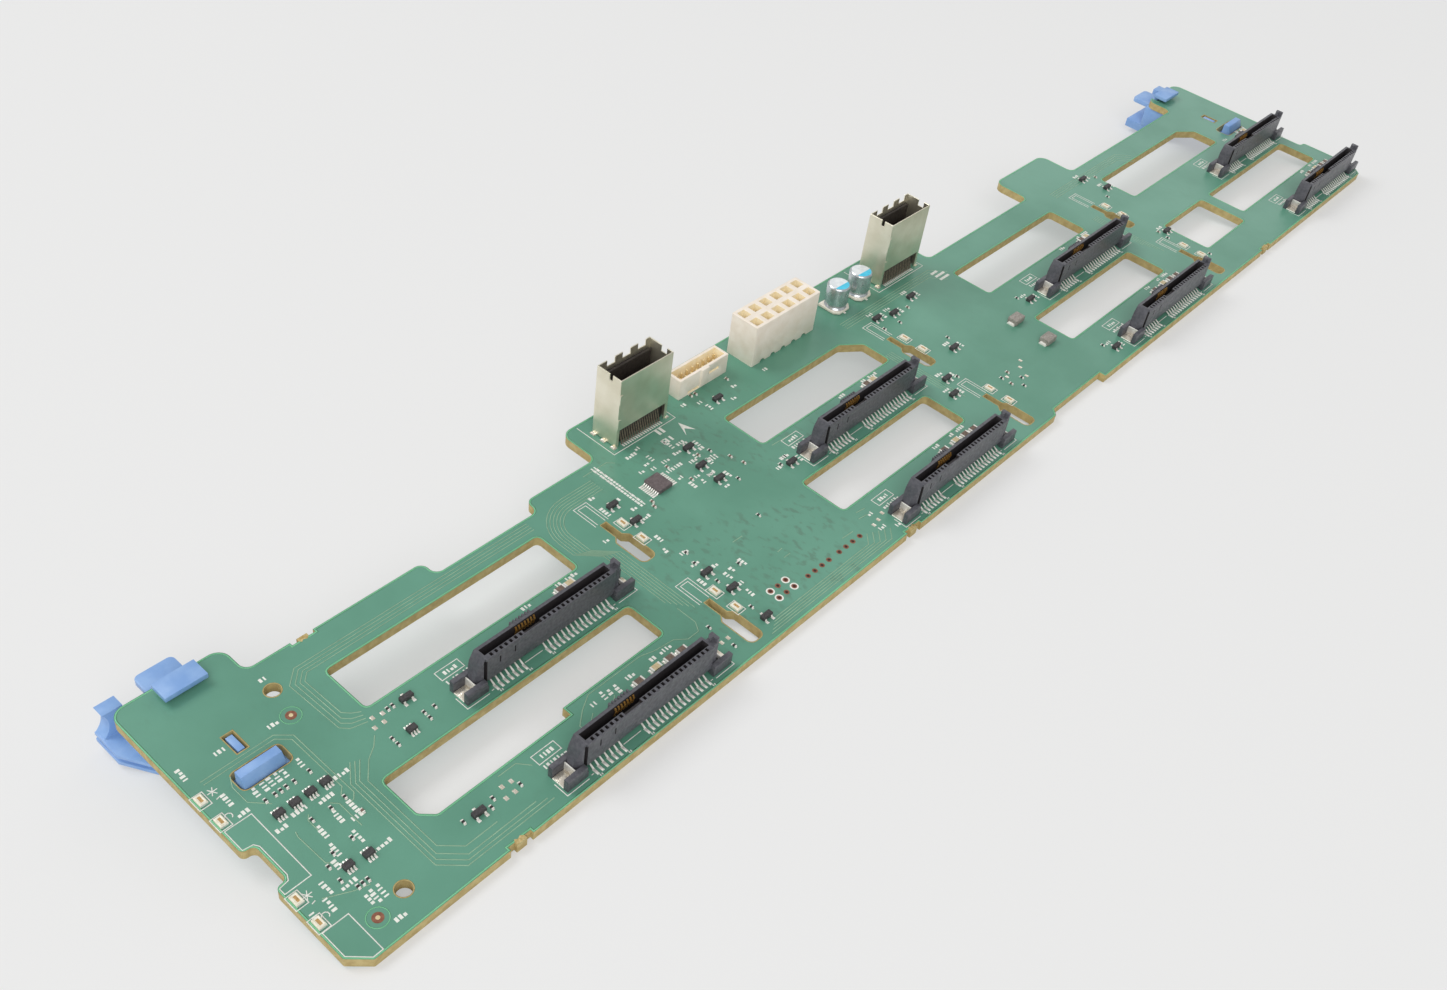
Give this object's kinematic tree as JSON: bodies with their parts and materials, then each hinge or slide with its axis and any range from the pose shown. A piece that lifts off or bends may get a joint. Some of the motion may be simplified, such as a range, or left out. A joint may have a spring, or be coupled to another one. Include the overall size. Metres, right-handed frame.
{
  "type": "drive backplane board",
  "caption": "Long server circuit board with upright drive sockets, air windows, cable ports, power and signal headers along its back edge, and snap-in plastic latches.",
  "frame": {"origin": "under the middle of the whole part, level with the bottom of the latch feet", "axes": "+X along the board, +Y from the front edge to the edge with the cable ports, +Z away from the component side"},
  "size_m": [0.4212, 0.0794, 0.0321],
  "materials": {
    "board_laminate": "satin green solder mask over glass fibre laminate",
    "latch_plastic": "blue moulded plastic",
    "socket_plastic": "dark grey moulded plastic",
    "socket_contact_metal": "plated spring metal",
    "tinned_tab": "tinned sheet",
    "port_shell_metal": "nickel plated sheet",
    "port_plastic": "black moulded plastic",
    "tinned_lead": "tinned metal",
    "header_plastic": "cream moulded plastic",
    "header_pin_metal": "plated pins",
    "can_aluminium": "drawn aluminium",
    "can_base_plastic": "pale moulded plastic",
    "chip_plastic": "black moulded plastic",
    "capacitor_ceramic": "tan ceramic",
    "inductor_ceramic": "grey ceramic",
    "light_lens": "clear lens on a white base"
  },
  "bodies": {
    "root": {"circuit_board": "board_laminate", "latch_left": "latch_plastic", "latch_right": "latch_plastic", "drive_socket_1": "socket_plastic", "drive_socket_contacts_1": "socket_contact_metal", "drive_socket_tabs_1": "tinned_tab", "drive_socket_2": "socket_plastic", "drive_socket_contacts_2": "socket_contact_metal", "drive_socket_tabs_2": "tinned_tab", "drive_socket_3": "socket_plastic", "drive_socket_contacts_3": "socket_contact_metal", "drive_socket_tabs_3": "tinned_tab", "drive_socket_4": "socket_plastic", "drive_socket_contacts_4": "socket_contact_metal", "drive_socket_tabs_4": "tinned_tab", "drive_socket_5": "socket_plastic", "drive_socket_contacts_5": "socket_contact_metal", "drive_socket_tabs_5": "tinned_tab", "drive_socket_6": "socket_plastic", "drive_socket_contacts_6": "socket_contact_metal", "drive_socket_tabs_6": "tinned_tab", "drive_socket_7": "socket_plastic", "drive_socket_contacts_7": "socket_contact_metal", "drive_socket_tabs_7": "tinned_tab", "drive_socket_8": "socket_plastic", "drive_socket_contacts_8": "socket_contact_metal", "drive_socket_tabs_8": "tinned_tab", "cable_port_shell_a": "port_shell_metal", "cable_port_insulator_a": "port_plastic", "cable_port_contacts_a": "tinned_lead", "cable_port_shell_b": "port_shell_metal", "cable_port_insulator_b": "port_plastic", "cable_port_contacts_b": "tinned_lead", "power_header": "header_plastic", "power_header_pins": "header_pin_metal", "signal_header": "header_plastic", "signal_header_pins": "header_pin_metal", "capacitor_can_1": "can_aluminium", "capacitor_base_1": "can_base_plastic", "capacitor_can_2": "can_aluminium", "capacitor_base_2": "can_base_plastic", "capacitor_feet": "tinned_lead", "controller_chip": "chip_plastic", "controller_chip_legs": "tinned_lead", "transistors": "chip_plastic", "chip_capacitors": "capacitor_ceramic", "inductors": "inductor_ceramic", "status_lights": "light_lens"}
  },
  "joints": []
}
